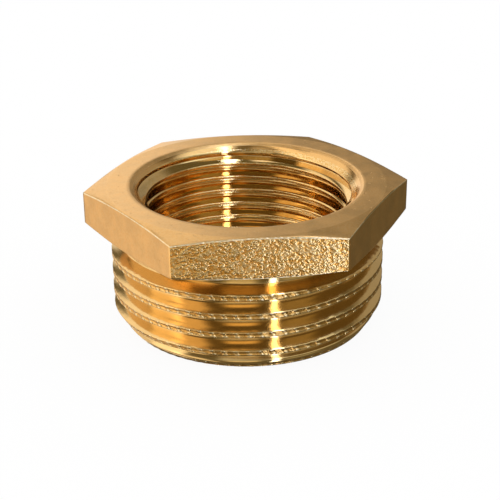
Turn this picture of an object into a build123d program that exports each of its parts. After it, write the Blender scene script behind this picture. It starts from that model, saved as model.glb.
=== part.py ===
"""Hex bushing: a one-piece brass reducer between two parallel pipe threads.

The outer end is a G 1 male thread (11 turns to the inch) and the bore is a G 3/4 female thread
(14 turns to the inch). The part stands on its threaded end: the origin is the centre of that end
face, +Z runs up the axis to the hexagon head, and two of the head's flats face -Y and +Y.
Lengths are in millimetres and angles in degrees.
"""

import os
from math import cos, radians, tan

from build123d import *
from build123d.topology import SkipClean

INCH = 25.4

# Hexagon head
across_flats = 34.0
head_thickness = 5.0
head_chamfer_inset = 0.2  # from a flat's middle in to the circle where the end chamfers start
top_chamfer_angle = 12.0  # fall of the top chamfer towards the corners
under_chamfer_angle = 10.0

# Threaded spigot under the head
spigot_length = 12.0
neck_width = 1.45  # run-out groove between the last crest and the head
neck_undercut = 0.1  # depth of the neck below the thread root
lead_in_length = 2.4
lead_in_depth = 1.55

# Whitworth pipe threads: flanks 27.5 degrees each side, flat crests and roots
flank_angle = 27.5
male_pitch = INCH / 11
male_major_radius = 33.249 / 2
male_minor_radius = 30.291 / 2
male_crest_land = 0.6
male_groove_height = 11.23  # middle of one turn of the groove where it crosses the XZ plane at +X
female_pitch = INCH / 14
female_major_radius = 26.441 / 2
female_minor_radius = 24.117 / 2
female_crest_land = 0.45
female_groove_height = 15.1

# Mouths of the bore
mouth_radius = 14.0
mouth_bevel_width = 0.4  # radial width of the narrow outer bevel
mouth_bevel_depth = 0.3
countersink_angle = 45.0
foot_countersink_radius = 13.5

# Turned walls are made in equal sectors, so that a thread crest is a row of short lands
sectors = 6
overshoot = 1.0  # how far a cutter reaches past the surface it cuts

height = spigot_length + head_thickness


def turned(outline):
    """The solid turned about Z by an outline of (radius, height) points, in equal sectors."""
    face = make_face(Plane.XZ * Polyline(*outline, close=True))
    sector = revolve(face, Axis.Z, 360 / sectors)
    turns = [Rot(0, 0, 360 / sectors * i) * sector for i in range(sectors)]
    return turns[0].fuse(*turns[1:])


def thread_groove(pitch, root_radius, crest_radius, crest_land, groove_height, top):
    """A thread's groove, one solid for each turn. It runs from below the part to above the top."""
    flank_slope = tan(radians(flank_angle))
    outward = 1 if crest_radius > root_radius else -1
    reach = crest_land / 4 / flank_slope  # past the crest, and short of the next turn
    depth = abs(crest_radius - root_radius)
    half_root = (pitch - crest_land) / 2 - depth * flank_slope
    half_open = half_root + (depth + reach) * flank_slope
    open_radius = crest_radius + outward * reach
    section = make_face(Plane.XZ * Polyline(
        (root_radius, -half_root),
        (open_radius, -half_open),
        (open_radius, half_open),
        (root_radius, half_root),
        close=True,
    ))
    turn = sweep(section, Helix(pitch, pitch, root_radius), is_frenet=True, clean=False)
    turns_below = int(groove_height / pitch) + 2
    turns_above = int((top - groove_height) / pitch) + 1
    return [Pos(0, 0, groove_height + i * pitch) * turn for i in range(-turns_below, turns_above)]


def spigot():
    """The threaded spigot, solid through, with its lead-in chamfer and its neck under the head."""
    foot_radius = male_major_radius - lead_in_depth
    neck_radius = male_minor_radius - neck_undercut
    neck_foot = spigot_length - neck_width
    neck_top = neck_foot - (male_major_radius - neck_radius) * tan(radians(flank_angle))
    blank = turned([
        (0, 0),
        (foot_radius, 0),
        (male_major_radius, lead_in_length),
        (male_major_radius, neck_top),
        (neck_radius, neck_foot),
        (neck_radius, spigot_length),
        (0, spigot_length),
    ])
    groove = thread_groove(
        male_pitch, male_minor_radius, male_major_radius, male_crest_land, male_groove_height,
        spigot_length,
    )
    return blank.cut(*groove)


def head():
    """The hexagon, with a shallow cone taken off the corners above and below."""
    hexagon = extrude(RegularPolygon(across_flats / 2, 6, major_radius=False), head_thickness)
    chamfer_radius = across_flats / 2 - head_chamfer_inset
    corner_radius = across_flats / 2 / cos(radians(30)) + overshoot
    reach = corner_radius - chamfer_radius
    cone = turned([
        (0, 0),
        (chamfer_radius, 0),
        (corner_radius, reach * tan(radians(under_chamfer_angle))),
        (corner_radius, head_thickness - reach * tan(radians(top_chamfer_angle))),
        (chamfer_radius, head_thickness),
        (0, head_thickness),
    ])
    return Pos(0, 0, spigot_length) * (hexagon & cone)


def bore():
    """Everything that is taken out through the middle: the bore, its mouths and its thread."""
    cone_radius = mouth_radius - mouth_bevel_width
    cone_top = height - mouth_bevel_depth
    cone_foot = cone_top - (cone_radius - female_minor_radius) / tan(radians(countersink_angle))
    foot_cone_top = (foot_countersink_radius - female_minor_radius) / tan(radians(countersink_angle))
    mouth_slope = mouth_bevel_width / mouth_bevel_depth
    hole = turned([
        (0, -overshoot),
        (foot_countersink_radius + overshoot * tan(radians(countersink_angle)), -overshoot),
        (female_minor_radius, foot_cone_top),
        (female_minor_radius, cone_foot),
        (cone_radius, cone_top),
        (mouth_radius + overshoot * mouth_slope, height + overshoot),
        (0, height + overshoot),
    ])
    groove = thread_groove(
        female_pitch, female_major_radius, female_minor_radius, female_crest_land,
        female_groove_height, height,
    )
    return hole, groove


with SkipClean():
    blank = spigot() + head()
    hole, groove = bore()
    hex_bushing = blank.cut(hole).cut(*groove)

if __name__ == "__main__":
    os.makedirs("parts", exist_ok=True)
    export_step(hex_bushing, "parts/hex_bushing.step")
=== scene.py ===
"""Looks of the hex bushing: one closed brass mesh on a white stage, lit like the studio shot."""
from math import cos, pi, radians, sin, tan

import bmesh
import bpy
import numpy as np
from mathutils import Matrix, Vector, noise


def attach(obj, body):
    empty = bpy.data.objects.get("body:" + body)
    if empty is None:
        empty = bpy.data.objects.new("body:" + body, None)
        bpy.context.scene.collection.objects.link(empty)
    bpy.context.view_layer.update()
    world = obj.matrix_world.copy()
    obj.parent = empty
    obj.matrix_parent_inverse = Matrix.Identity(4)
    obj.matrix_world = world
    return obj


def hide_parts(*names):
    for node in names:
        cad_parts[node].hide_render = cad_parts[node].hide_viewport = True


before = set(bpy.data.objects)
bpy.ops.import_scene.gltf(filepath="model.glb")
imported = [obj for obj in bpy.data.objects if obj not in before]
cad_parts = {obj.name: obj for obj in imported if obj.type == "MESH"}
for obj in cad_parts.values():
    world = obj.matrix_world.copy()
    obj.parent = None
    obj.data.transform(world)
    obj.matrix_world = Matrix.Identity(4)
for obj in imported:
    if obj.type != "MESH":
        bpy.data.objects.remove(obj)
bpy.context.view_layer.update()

# The bushing's own sizes, as in its source. Lengths here and in the mesh code are in millimetres.
INCH = 25.4
ACROSS_FLATS = 34.0
HEAD_FOOT = 12.0
HEIGHT = 17.0
CHAMFER_CIRCLE = 16.8
TOP_CHAMFER = tan(radians(12.0))
UNDER_CHAMFER = tan(radians(10.0))
NECK_WIDTH = 1.45
NECK_UNDERCUT = 0.1
LEAD_IN_LENGTH = 2.4
LEAD_IN_DEPTH = 1.55
FLANK = tan(radians(27.5))
MOUTH = 14.0
BEVEL_WIDTH = 0.4
BEVEL_DEPTH = 0.3
FOOT_COUNTERSINK = 13.5

# The two threads. crest and root are radii, land is the crest's width, and groove is the height of a
# groove's middle at angle 0. rows are the mesh's rows within one pitch, from the middle of the crest,
# and the finish changes from crest to wall at crest_edge.
MALE = {
    "pitch": INCH / 11, "crest": 33.249 / 2, "root": 30.291 / 2, "land": 0.6, "groove": 11.23,
    "rows": [-1.155, -1.06, -0.7, -0.35, -0.3, -0.19, -0.07, 0.07, 0.19, 0.3, 0.35, 0.6, 0.85, 1.06],
    "crest_edge": 0.3, "crest_finish": "crest", "wall_finish": "turned",
}
FEMALE = {
    "pitch": INCH / 14, "crest": 24.117 / 2, "root": 26.441 / 2, "land": 0.45, "groove": 15.1,
    "rows": [-0.907, -0.8, -0.5, -0.27, -0.2, -0.06, 0.08, 0.2, 0.27, 0.45, 0.62, 0.8],
    "crest_edge": 0.27, "crest_finish": "bore_crest", "wall_finish": "bore",
}
ROW_SNAP = 0.035  # a thread's row this near the end of its wall runs along that end
EDGE_BLEND = 0.06  # the band over which most edges are rounded
SHARP_BLEND = 0.05  # the narrower one at the blank's own corners
EDGE_INSET = 0.05  # how far in the first and last rows of a flat lie

# The male thread's crests are torn by the die into a ladder of pits
CHATTER_MARKS = 75  # round one turn
CHATTER_START = radians(99.4)
CHATTER_SLANT = 3.0  # radians of mark for each millimetre across the crest
PIT_DEPTH = 0.045
TEAR_SIZE = 0.27

# Mesh columns round the spigot, round the bore, and along each of the six flats from the front one on
OUTER_COLUMNS = 600
INNER_COLUMNS = 288
FLAT_COLUMNS = (140, 54, 54, 60, 54, 54)
COARSE_FLATS = (0, 3)  # the front flat and the back one have a coarse blasted grain
GRAIN_DEPTH = 0.014
GRAIN_SIZE = 0.42
GRAIN_STRETCH = (0.7, 0.7, 1)

# Height and flare of the neck's rows, above the last row that follows the thread
NECK_START = 9.75
NECK_ROWS = [(9.87, 0), (10.0, 0), (10.13, 0), (10.26, 0), (10.4, 0), (10.55, 0), (10.7, 0), (11.3, 0),
             (11.85, 0), (11.95, 0.05), (12.0, 0.15)]

BRASS = (0.82, 0.52, 0.225)
CUT_BRASS = (0.84, 0.60, 0.29)
BLASTED_BRASS = (0.93, 0.62, 0.27)
# A pale brass for the flats' edge rows: a painted highlight along those edges.
EDGE_HIGHLIGHT_BRASS = (1.0, 0.84, 0.60)
FINISHES = {  # what brass() takes, in the order of the mesh's material slots
    # In these finishes the grain's pits are painted darker and its tops paler: painted shade and painted
    # highlight on the relief.
    "turned": dict(roughness=0.13, anisotropy=0.6, lines=0.004, grain=0.002, colour=CUT_BRASS),
    "crest": dict(roughness=0.28, grain=0.03, grain_size=0.2, relief_shade_and_highlight=0.75, colour=CUT_BRASS, ladder=True),
    "satin": dict(roughness=0.35, grain=0.004, grain_size=0.25, relief_shade_and_highlight=0.08, mottle=0.07, nicks=0.03),
    "faced": dict(roughness=0.35, lines=0.003, grain=0.004, grain_size=0.25, relief_shade_and_highlight=0.08, mottle=0.07,
                  nicks=0.03),
    "blasted": dict(roughness=0.26, grain=0.055, grain_size=0.25, stretch=1.35, relief_shade_and_highlight=0.6,
                    colour=BLASTED_BRASS),
    # The flats' edge rows: pale brass as a painted highlight, with rough grain.
    "edge_highlight": dict(roughness=0.3, grain=0.08, grain_size=0.3, relief_shade_and_highlight=0.5, colour=EDGE_HIGHLIGHT_BRASS),
    "countersink": dict(roughness=0.15, anisotropy=0.6, lines=0.006, grain=0.004, grain_size=0.2),
    "bore": dict(roughness=0.07, anisotropy=0.5, lines=0.006, grain=0.002, grain_size=0.16, relief_shade_and_highlight=0.2,
                 colour=CUT_BRASS),
    "bore_crest": dict(roughness=0.14, lines=0.016, grain=0.014, grain_size=0.16, relief_shade_and_highlight=0.6,
                       colour=CUT_BRASS),
}
SLOTS = {name: number for number, name in enumerate(FINISHES)}
LADDER_DEPTH = 0.16

WHITE = (1, 1, 1, 1)
STRIP_COLOUR = (0.85, 0.9, 1.0, 1)
STUDIO_CENTRE = Vector((0, 0, 0.012))
STUDIO_RADIUS = 0.9
STUDIO_BASE = (0.14, 0.115, 0.06)
SOFTBOXES = [  # azimuth, elevation, half width, half height and soft edge in degrees, colour
    (-172, 28, 12, 54, 10, (1.25, 1.12, 0.92)),
    (-148, -25, 8, 32, 14, (0.85, 0.72, 0.54)),
    (-122, 62, 10, 8, 12, (0.50, 0.46, 0.38)),
    (-104, 30, 13, 8, 12, (0.42, 0.41, 0.36)),
    (-101, -9, 7, 9, 12, (0.90, 0.74, 0.46)),
    (-50, -28, 8, 14, 14, (0.22, 0.21, 0.15)),
    (-44, 35, 28, 10, 15, (0.42, 0.42, 0.36)),
    (-25, 64, 32, 8, 15, (1.00, 1.08, 1.10)),
    (30, 22, 26, 14, 12, (0.25, 0.23, 0.20)),
    (80, 25, 12, 12, 12, (0.18, 0.17, 0.15)),
    (100.5, 20, 8, 55, 9, (1.05, 0.97, 0.86)),
    (147, -30, 18, 30, 8, (0.78, 0.66, 0.54)),
    (147, 32, 18, 22, 10, (1.00, 0.90, 0.76)),
]
FLOOR_GLOW = 0.93  # how much of the floor the camera sees as plain white; the rest takes the shadow


def soft_min(a, b, blend):
    """The smaller of a and b, rounded over a band of width blend where they cross."""
    h = np.clip(0.5 + 0.5 * (b - a) / blend, 0, 1)
    return b + (a - b) * h - blend * h * (1 - h)


def soft_max(a, b, blend):
    return -soft_min(-a, -b, blend)


def bumps(points, size, seed):
    """Smooth noise from -1 to 1 at each point, whose lumps are about size across."""
    shift = Vector((seed * 17.3, seed * 5.1, seed * 9.7))
    return np.array([noise.noise(Vector(p) / size + shift) for p in points])


def polar(radii, angles, heights):
    """Points from their distances from the axis, angles round it and heights."""
    return np.stack([radii * np.cos(angles), radii * np.sin(angles), heights], 1)


class Surface:
    """A growing mesh: points in millimetres, faces by point number, and each face's material slot."""

    def __init__(self):
        self.points = []
        self.faces = []
        self.slots = []
        self.count = 0

    def add_points(self, points):
        first = self.count
        self.points.append(points)
        self.count += len(points)
        return np.arange(first, self.count)

    def add_face(self, corners, finish):
        """Adds a face, without the corners that coincide. One with fewer than three left is skipped."""
        kept = [c for i, c in enumerate(corners) if c != corners[i - 1]]
        if len(kept) > 2 and len(set(kept)) == len(kept):
            self.faces.append(kept)
            self.slots.append(SLOTS[finish])

    def ring(self, angles, radii, heights):
        radii = np.broadcast_to(radii, angles.shape)
        heights = np.broadcast_to(heights, angles.shape)
        return self.add_points(polar(radii, angles, heights))

    def band(self, lower, upper, finish):
        """Joins two rings of equal number, in one finish or in one for each column."""
        finishes = [finish] * len(lower) if isinstance(finish, str) else finish
        for j in range(len(lower)):
            k = (j + 1) % len(lower)
            self.add_face([lower[j], lower[k], upper[k], upper[j]], finishes[j])

    def climb(self, below, rows, angles, finish):
        """Stacks rings on the ring below, one for each radius and height in rows. Returns the last one."""
        for radii, heights in rows:
            row = self.ring(angles, radii, heights)
            self.band(below, row, finish)
            below = row
        return below

    def zip(self, lower, lower_angles, upper, upper_angles, finish):
        """Joins two rings of different numbers, whose angles rise from 0 to less than a full turn."""
        i = j = 0
        n, m = len(lower), len(upper)
        a = np.append(lower_angles, lower_angles[0] + 2 * pi)
        b = np.append(upper_angles, upper_angles[0] + 2 * pi)
        while i < n or j < m:
            if j == m or (i < n and a[i + 1] <= b[j + 1]):
                self.add_face([lower[i], lower[(i + 1) % n], upper[j % m]], finish)
                i += 1
            else:
                self.add_face([lower[i % n], upper[(j + 1) % m], upper[j]], finish)
                j += 1


def first_crest(thread):
    """Height of a crest's middle at angle 0."""
    return thread["groove"] - thread["pitch"] / 2


def crest_phase(thread, angles, z):
    """How far z lies above the middle of the nearest crest, at each angle."""
    pitch = thread["pitch"]
    return (z - first_crest(thread) - pitch * angles / (2 * pi) + pitch / 2) % pitch - pitch / 2


def thread_radius(thread, phase):
    rise = thread["crest"] - thread["root"]
    fall = np.clip((np.abs(phase) - thread["land"] / 2) / FLANK, 0, abs(rise))
    return thread["crest"] - np.sign(rise) * fall


def helical_wall(surface, angles, thread, low, high, radius):
    """A threaded wall whose rows follow the thread, and stop at the heights low and high. radius gives its
    radii from angles and heights. Returns the lowest and the highest ring."""
    pitch = thread["pitch"]
    crest = first_crest(thread)
    turns = range(-int(crest / pitch) - 3, int((high - crest) / pitch) + 3)
    phases = np.array([offset for turn in turns for offset in thread["rows"]])
    rows = crest + np.array([turn * pitch + offset for turn in turns for offset in thread["rows"]])
    columns = []
    for angle in angles:
        z = rows + pitch * angle / (2 * pi)
        z = np.where(z < low + ROW_SNAP, low, np.where(z > high - ROW_SNAP, high, z))
        kept, places = np.unique(z, return_inverse=True)
        around = np.full(len(kept), angle)
        numbers = surface.add_points(polar(radius(around, kept), around, kept))
        columns.append(numbers[places])
    shift = len(thread["rows"])  # after a full turn each row has risen to the same row of the next turn
    columns.append(np.concatenate([columns[0][shift:], np.full(shift, columns[0][-1])]))
    middles = phases[:-1] + (np.diff(phases) % pitch) / 2
    finishes = [thread["crest_finish"] if abs(middle) < thread["crest_edge"] else thread["wall_finish"]
                for middle in middles]
    for a, b in zip(columns, columns[1:]):
        for k, finish in enumerate(finishes):
            surface.add_face([a[k], b[k], b[k + 1], a[k + 1]], finish)
    lowest = np.array([column[0] for column in columns[:-1]])
    highest = np.array([column[-1] for column in columns[:-1]])
    return lowest, highest


def chatter(angles, z, phase):
    """How far a crest of the male thread is torn in: a ladder of shallow pits between two raised edges."""
    across = np.clip(np.abs(phase) / (MALE["land"] / 2), 0, 1)
    wave = 0.5 - 0.5 * np.cos(CHATTER_MARKS * (angles + CHATTER_START) + CHATTER_SLANT * phase)
    rough = 0.5 + 0.5 * bumps(polar(16.6, angles, z), TEAR_SIZE, 1)
    pit = (1 - across ** 3) * (0.25 + 0.75 * wave ** 0.8)
    on_crest = np.abs(phase) < MALE["land"] / 2 + 0.01
    return on_crest * (PIT_DEPTH * pit + (0.01 + 0.02 * wave) * rough)


def spigot_radius(angles, z):
    """The male thread, cut away by the lead-in cone below and by the neck's slope above."""
    phase = crest_phase(MALE, angles, z)
    neck = MALE["root"] - NECK_UNDERCUT
    neck_foot = HEAD_FOOT - NECK_WIDTH
    lead_in = MALE["crest"] - LEAD_IN_DEPTH + np.minimum(z, LEAD_IN_LENGTH) * LEAD_IN_DEPTH / LEAD_IN_LENGTH
    slope = neck + np.maximum(neck_foot - z, 0) / FLANK
    blank = soft_min(soft_min(lead_in, slope, 0.1), np.full_like(z, MALE["crest"]), SHARP_BLEND)
    cut = soft_min(thread_radius(MALE, phase), blank, EDGE_BLEND)
    return np.minimum(cut, blank) - chatter(angles, z, phase) * (z < neck_foot)


def bore_radius(angles, z):
    """The female thread, running out into the countersink above and the small one at the foot."""
    cone = MOUTH - BEVEL_WIDTH - (HEIGHT - BEVEL_DEPTH - z)
    foot = FOOT_COUNTERSINK - z
    blank = np.maximum(np.maximum(cone, foot), FEMALE["crest"])
    return soft_max(thread_radius(FEMALE, crest_phase(FEMALE, angles, z)), blank, SHARP_BLEND)


def even_angles(count):
    return np.arange(count) / count * 2 * pi


def flat_angles():
    """Angles round the head, which divide each flat evenly."""
    angles = []
    for flat, count in enumerate(FLAT_COLUMNS):
        turn = np.arange(count) / count - 0.5
        angles.append(-pi / 2 + flat * pi / 3 + np.arctan(np.tan(pi / 6) * 2 * turn))
    return np.sort(np.concatenate(angles) % (2 * pi))


def from_flat(angles):
    """The angle from the middle of the nearest flat."""
    return (angles + pi / 2 + pi / 6) % (pi / 3) - pi / 6


def hexagon_radius(angles):
    turn = from_flat(angles)
    near = ACROSS_FLATS / 2 / np.cos(turn)
    far = ACROSS_FLATS / 2 / np.cos(pi / 3 - np.abs(turn))
    return soft_min(near, far, EDGE_BLEND)


def build_spigot(surface, outer):
    """The threaded wall, then the neck in level rows. Returns the lowest and the highest ring."""
    foot, below = helical_wall(surface, outer, MALE, 0, NECK_START, spigot_radius)
    neck = [(spigot_radius(outer, np.full(len(outer), z)) + flare, z) for z, flare in NECK_ROWS]
    return foot, surface.climb(below, neck, outer, "turned")


def build_underside(surface, below, outer, hexagon, edge):
    """The head's flat underside and the chamfer round it."""
    circle = surface.ring(outer, CHAMFER_CIRCLE, HEAD_FOOT)
    surface.band(below, circle, "turned")
    inset = CHAMFER_CIRCLE + 0.02
    row = surface.ring(hexagon, inset, HEAD_FOOT)
    surface.zip(circle, outer, row, hexagon, "satin")
    radii = [inset + (edge - inset) * share for share in (0.25, 0.5, 0.75, 0.96)]
    rows = [(r, HEAD_FOOT + (r - CHAMFER_CIRCLE) * UNDER_CHAMFER) for r in radii]
    return surface.climb(row, rows, hexagon, "satin")


def build_flats(surface, below, hexagon, edge):
    """The six flats, whose first and last rows round their edges. The coarse ones have grain in the mesh,
    which fades out at their ends. Every flat's top rows, and the coarse flats' foot rows, take a pale brass:
    a painted highlight along those edges."""
    foot = HEAD_FOOT + np.maximum(edge - CHAMFER_CIRCLE, 0) * UNDER_CHAMFER
    rim = HEIGHT - np.maximum(edge - CHAMFER_CIRCLE, 0) * TOP_CHAMFER
    flat = np.floor((hexagon + pi / 2 + pi / 6) % (2 * pi) / (pi / 3)).astype(int)
    coarse = np.isin(flat, COARSE_FLATS)
    fade = np.clip((pi / 6 - np.abs(from_flat(hexagon))) / 0.02, 0, 1)
    middle_finish = np.where(coarse, "blasted", "satin")
    # The coarse flats' foot rows take the pale edge brass, a painted highlight.
    foot_finish = np.where(coarse, "edge_highlight", "satin")
    for share in [0, 0.02, *np.linspace(0.05, 0.94, 24), 0.965, 0.985, 1]:
        z = foot + (rim - foot) * share
        radii = edge - EDGE_INSET * (share in (0, 1))
        grain = 0.5 + 0.5 * bumps(polar(radii, hexagon, z) * GRAIN_STRETCH, GRAIN_SIZE, 2)
        row = surface.ring(hexagon, radii - fade * coarse * GRAIN_DEPTH * grain, z)
        if share == 0:
            finish = "satin"
        elif share < 0.03:
            finish = foot_finish
        elif share < 0.97:
            finish = middle_finish
        else:
            # Every flat's top rows take the pale edge brass, a painted highlight.
            finish = "edge_highlight"
        surface.band(below, row, finish)
        below = row
    return below


def build_top(surface, below, outer, hexagon, edge):
    """The chamfer above the flats, the faced ring and the small bevel at the bore's mouth."""
    radii = [edge + (CHAMFER_CIRCLE - edge) * share for share in (0.05, 0.3, 0.6, 0.9, 1.0)]
    rows = [(r, HEIGHT - (r - CHAMFER_CIRCLE) * TOP_CHAMFER) for r in radii]
    below = surface.climb(below, rows, hexagon, "satin")
    circle = surface.ring(outer, CHAMFER_CIRCLE - 0.1, HEIGHT)
    surface.zip(below, hexagon, circle, outer, "satin")
    below = surface.climb(circle, [(r, HEIGHT) for r in (16.0, 15.2, 14.5, 14.08)], outer, "faced")
    bevel = [(MOUTH - 0.03, HEIGHT - 0.04), (MOUTH - 0.2, HEIGHT - 0.16),
             (MOUTH - BEVEL_WIDTH + 0.04, HEIGHT - BEVEL_DEPTH + 0.02)]
    return surface.climb(below, bevel, outer, "satin")


def build_bushing():
    """The whole bushing as one closed surface, from the spigot's foot round and back down the bore."""
    surface = Surface()
    outer = even_angles(OUTER_COLUMNS)
    inner = even_angles(INNER_COLUMNS)
    hexagon = flat_angles()
    edge = hexagon_radius(hexagon)
    foot, below = build_spigot(surface, outer)
    below = build_underside(surface, below, outer, hexagon, edge)
    below = build_flats(surface, below, hexagon, edge)
    below = build_top(surface, below, outer, hexagon, edge)
    cone_top = HEIGHT - BEVEL_DEPTH
    cone_rim = surface.ring(inner, MOUTH - BEVEL_WIDTH - 0.04, cone_top - 0.04)
    surface.zip(below, outer, cone_rim, inner, "countersink")
    low, high = helical_wall(surface, inner, FEMALE, 0, cone_top - 0.35, bore_radius)
    surface.band(high, cone_rim, "countersink")
    surface.zip(low, inner, foot, outer, "turned")
    return surface


def add_object(name, mesh):
    ob = bpy.data.objects.new(name, mesh)
    bpy.context.scene.collection.objects.link(ob)
    return ob


def to_object(surface, name):
    """The surface as a smooth Blender object in metres, with its faces turned outwards."""
    points = np.concatenate(surface.points) / 1000
    used = sorted({corner for face in surface.faces for corner in face})
    renumbered = {corner: i for i, corner in enumerate(used)}
    mesh = bpy.data.meshes.new(name)
    mesh.from_pydata(points[used].tolist(), [], [[renumbered[c] for c in face] for face in surface.faces])
    mesh.polygons.foreach_set("material_index", surface.slots)
    mesh.polygons.foreach_set("use_smooth", [True] * len(mesh.polygons))
    bm = bmesh.new()
    bm.from_mesh(mesh)
    bmesh.ops.recalc_face_normals(bm, faces=bm.faces)
    bm.to_mesh(mesh)
    bm.free()
    return add_object(name, mesh)


class Nodes:
    """Short names for building a node tree."""

    def __init__(self, tree):
        self.tree = tree
        self.tree.nodes.clear()

    def add(self, kind, values=(), **settings):
        node = self.tree.nodes.new(kind)
        for name, value in settings.items():
            setattr(node, name, value)
        for key, value in dict(values).items():
            self.put(value, node.inputs[key])
        return node

    def put(self, value, socket):
        """Links a socket to socket, or sets its value."""
        if isinstance(value, bpy.types.NodeSocket):
            self.tree.links.new(value, socket)
        else:
            socket.default_value = value

    def output(self, shader, kind="ShaderNodeOutputMaterial"):
        self.put(shader, self.add(kind).inputs[0])

    def math(self, operation, *values):
        return self.add("ShaderNodeMath", enumerate(values), operation=operation).outputs[0]

    def vector(self, operation, *values):
        return self.add("ShaderNodeVectorMath", enumerate(values), operation=operation).outputs[0]

    def scaled(self, vector, factor):
        return self.add("ShaderNodeVectorMath", {0: vector, "Scale": factor}, operation="SCALE").outputs[0]

    def split(self, vector):
        return self.add("ShaderNodeSeparateXYZ", {"Vector": vector}).outputs

    def position(self):
        return self.add("ShaderNodeTexCoord").outputs["Object"]

    def noise(self, vector, scale, detail, rough=0.5):
        node = self.add("ShaderNodeTexNoise", {"Vector": vector, "Scale": scale, "Detail": detail,
                                               "Roughness": rough})
        return node.outputs["Fac"]

    def ramp(self, value, low, high, start=0.0, end=1.0):
        """Takes value smoothly from start at low to end at high, and holds it beyond them."""
        node = self.add("ShaderNodeMapRange", {"Value": value, "From Min": low, "From Max": high,
                                               "To Min": start, "To Max": end})
        node.interpolation_type = "SMOOTHSTEP"
        return node.outputs["Result"]

    def bump(self, height, millimetres, normal):
        node = self.add("ShaderNodeBump", {"Height": height, "Strength": 1.0, "Distance": millimetres / 1000})
        if normal is not None:
            self.put(normal, node.inputs["Normal"])
        return node.outputs[0]

    def glow(self, colour, strength=1.0):
        return self.add("ShaderNodeEmission", {"Color": colour, "Strength": strength}).outputs[0]


def turning_marks(n, x, y, z):
    """Noise that changes quickly along the axis and outwards, and slowly round it."""
    radius = n.math("SQRT", n.math("ADD", n.math("MULTIPLY", x, x), n.math("MULTIPLY", y, y)))
    turned = n.add("ShaderNodeCombineXYZ", {
        0: n.math("DIVIDE", x, n.math("MULTIPLY", radius, 2.0)),
        1: n.math("DIVIDE", y, n.math("MULTIPLY", radius, 2.0)),
        2: n.math("MULTIPLY", n.math("ADD", z, radius), 6000.0)}).outputs[0]
    return n.noise(turned, 1.0, 3.0, 0.6)


def torn_ladder(n, x, y, z):
    """The male thread's torn crest, as chatter() has it: high on its edges and strokes, 0 in the pits."""
    pitch = MALE["pitch"] / 1000
    angle = n.math("ARCTAN2", y, x)
    height = n.math("SUBTRACT", n.math("SUBTRACT", z, first_crest(MALE) / 1000),
                    n.math("MULTIPLY", angle, pitch / (2 * pi)))
    phase = n.math("WRAP", height, pitch / 2, -pitch / 2)
    across = n.math("DIVIDE", n.math("ABSOLUTE", phase), MALE["land"] / 2000)
    turn = n.math("ADD", n.math("MULTIPLY", n.math("ADD", angle, CHATTER_START), CHATTER_MARKS),
                  n.math("MULTIPLY", phase, CHATTER_SLANT * 1000))
    stroke = n.ramp(n.math("COSINE", turn), 0.0, 0.9)
    edge = n.ramp(across, 0.15, 0.8)
    return n.math("ADD", n.math("MULTIPLY", stroke, n.ramp(across, 0.1, 0.7, 0.25, 0.7)),
                  n.math("MULTIPLY", edge, 0.3))


def painted_relief_colour(n, painted_relief, colour, relief_shade_and_highlight):
    """The metal's colour: deeper where its input is low and paler where it is high, a painted shade in the
    relief's pits and a painted highlight on its tops.
    """
    node = n.add("ShaderNodeValToRGB", {"Fac": painted_relief})
    node.color_ramp.elements.new(0.5)
    powers = (1 + relief_shade_and_highlight, 1, 1 - relief_shade_and_highlight / 2)
    for element, position, power in zip(node.color_ramp.elements, (0.15, 0.5, 0.9), powers):
        element.position = position
        element.color = [c ** power for c in colour] + [1]
    return node.outputs[0]


def new_material(name):
    """A new material, and the helper for its emptied node tree."""
    material = bpy.data.materials.new(name)
    material.use_nodes = True
    return material, Nodes(material.node_tree)


def brass(name, roughness, colour=BRASS, anisotropy=0.0, lines=0.0, grain=0.0, grain_size=0.3, stretch=1.0,
          relief_shade_and_highlight=0.0, mottle=0.04, nicks=0.0, ladder=False):
    """Brass. lines, grain and nicks are the depths of its turning marks, roughness and nicks, and
    grain_size is how far the roughness's lumps are across, in millimetres. stretch widens the lumps.
    The argument after stretch paints the lumps' pits darker and their tops paler: painted shade and a
    painted highlight on the grain's relief. mottle is how far broad patches differ."""
    material, n = new_material(name)
    place = n.position()
    x, y, z = n.split(place)
    normal = None
    if lines:
        normal = n.bump(turning_marks(n, x, y, z), lines, normal)
    fine = n.noise(n.vector("MULTIPLY", place, (1 / stretch, 1 / stretch, 1)), 1000 / grain_size, 1.5)
    if grain:
        normal = n.bump(fine, grain, normal)
    if nicks:
        normal = n.bump(n.ramp(n.noise(place, 2200.0, 0.0), 0.76, 0.82), -nicks, normal)
    # The grain's height, from which the colour is painted: darker in its pits as painted shade, paler on its
    # tops as painted highlight.
    painted_relief = n.ramp(fine, 0.25, 0.75)
    if ladder:
        strokes = torn_ladder(n, x, y, z)
        normal = n.bump(strokes, LADDER_DEPTH, normal)
        # The ladder's strokes and raised edges are painted paler and its pits darker: painted highlight and
        # painted shade.
        painted_relief = n.math("ADD", n.math("MULTIPLY", strokes, 0.8), n.math("MULTIPLY", painted_relief, 0.3))
    patches = n.noise(place, 450.0, 4.0, 0.6)
    shader = n.add("ShaderNodeBsdfPrincipled", {
        "Base Color": n.scaled(painted_relief_colour(n, painted_relief, colour, relief_shade_and_highlight),
                               n.ramp(patches, 0.3, 0.7, 1.0 - mottle, 1.0 + mottle)),
        "Metallic": 1.0,
        "Roughness": n.ramp(patches, 0.3, 0.7, roughness * 0.92, roughness * 1.08)})
    if normal is not None:
        n.put(normal, shader.inputs["Normal"])
    if anisotropy:
        shader.inputs["Anisotropic"].default_value = anisotropy
        shader.inputs["Anisotropic Rotation"].default_value = 0.25
        tangent = n.add("ShaderNodeTangent", direction_type="RADIAL", axis="Z")
        n.put(tangent.outputs[0], shader.inputs["Tangent"])
    n.output(shader.outputs[0])
    return material


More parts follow.
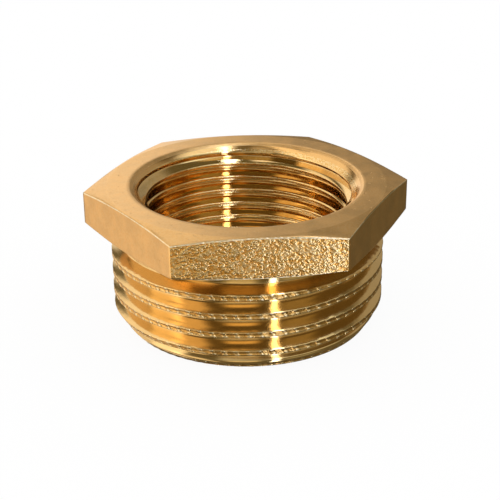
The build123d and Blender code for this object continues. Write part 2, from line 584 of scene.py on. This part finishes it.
def add_camera():
    camera = bpy.data.cameras.new("camera")
    camera.sensor_fit = "HORIZONTAL"
    camera.sensor_width = 36
    camera.lens = 90.53
    ob = add_object("camera", camera)
    ob.location = (-0.01156, -0.14086, 0.07155)
    ob.rotation_euler = (radians(65.760), radians(0.531), radians(-5.060))
    bpy.context.scene.camera = ob
    bpy.context.scene.view_settings.view_transform = "Standard"


def white_world():
    world = bpy.data.worlds.new("world")
    bpy.context.scene.world = world
    world.use_nodes = True
    n = Nodes(world.node_tree)
    background = n.add("ShaderNodeBackground", {"Color": WHITE, "Strength": 1.0})
    n.output(background.outputs[0], "ShaderNodeOutputWorld")


def floor():
    """The white sheet under the object. It takes a faint shadow, and is left out of the reflections."""
    bpy.ops.mesh.primitive_plane_add(size=30)
    ob = bpy.context.object
    ob.name = "floor"
    ob.visible_glossy = False
    material, n = new_material("floor")
    rays = n.add("ShaderNodeLightPath").outputs
    seen = n.math("MAXIMUM", n.math("MAXIMUM", rays["Is Camera Ray"], rays["Is Glossy Ray"]),
                  rays["Is Transmission Ray"])
    paper = n.add("ShaderNodeBsdfDiffuse", {"Color": WHITE}).outputs[0]
    mix = n.add("ShaderNodeMixShader", {0: n.math("MULTIPLY", seen, FLOOR_GLOW), 1: paper, 2: n.glow(WHITE)})
    n.output(mix.outputs[0])
    ob.data.materials.append(material)


def studio():
    """The studio round the object, seen only in its reflections: soft lamps in a dim room."""
    bpy.ops.mesh.primitive_uv_sphere_add(segments=48, ring_count=24, radius=STUDIO_RADIUS)
    ob = bpy.context.object
    ob.name = "studio"
    ob.visible_camera = ob.visible_diffuse = ob.visible_shadow = False
    material, n = new_material("studio")
    x, y, z = n.split(n.vector("NORMALIZE", n.position()))
    turn = n.math("ARCTAN2", y, x)
    rise = n.math("ARCSINE", z)
    total = STUDIO_BASE
    for azimuth, elevation, half_width, half_height, edge, colour in SOFTBOXES:
        aside = n.math("ABSOLUTE", n.math("WRAP", n.math("SUBTRACT", turn, radians(azimuth)), pi, -pi))
        above = n.math("ABSOLUTE", n.math("SUBTRACT", rise, radians(elevation)))
        share = n.math("MULTIPLY",
                       n.ramp(aside, radians(half_width), radians(half_width + edge), 1.0, 0.0),
                       n.ramp(above, radians(half_height), radians(half_height + edge), 1.0, 0.0))
        total = n.vector("ADD", n.scaled(colour, share), total)
    n.output(n.glow(total))
    ob.data.materials.append(material)


def strip_light(facing, offset, half_width, low, high, strength, radius=0.6, steps=48):
    """A narrow strip light that stands on end and curves over the object, from the elevation low to high.
    It shows in a turned wall where the wall faces the azimuth facing. offset is its distance from the
    upright plane through the centre. All but the angles are in radii."""
    ahead = Vector((cos(radians(facing)), sin(radians(facing)), 0))
    aside = Vector((-ahead.y, ahead.x, 0))
    reach = (1 - offset ** 2) ** 0.5
    points = []
    for i in range(steps + 1):
        t = radians(low + (high - low) * i / steps)
        middle = ahead * (reach * cos(t)) + Vector((0, 0, reach * sin(t)))
        for side in (-half_width, half_width):
            points.append(STUDIO_CENTRE + (middle + aside * (offset + side)) * radius)
    faces = [(k, k + 1, k + 3, k + 2) for k in range(0, 2 * steps, 2)]
    mesh = bpy.data.meshes.new("strip")
    mesh.from_pydata(points, [], faces)
    material, n = new_material("strip_light")
    n.output(n.glow(STRIP_COLOUR, strength))
    ob = add_object("strip_light", mesh)
    ob.data.materials.append(material)
    ob.visible_camera = ob.visible_diffuse = ob.visible_shadow = False


bushing = to_object(build_bushing(), "bushing")
for name, settings in FINISHES.items():
    bushing.data.materials.append(brass(name, **settings))
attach(bushing, "root")
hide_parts("hex_bushing")

add_camera()
white_world()
floor()
studio()
strip_light(facing=-83.3, offset=0.18, half_width=0.042, low=-80, high=115, strength=6)
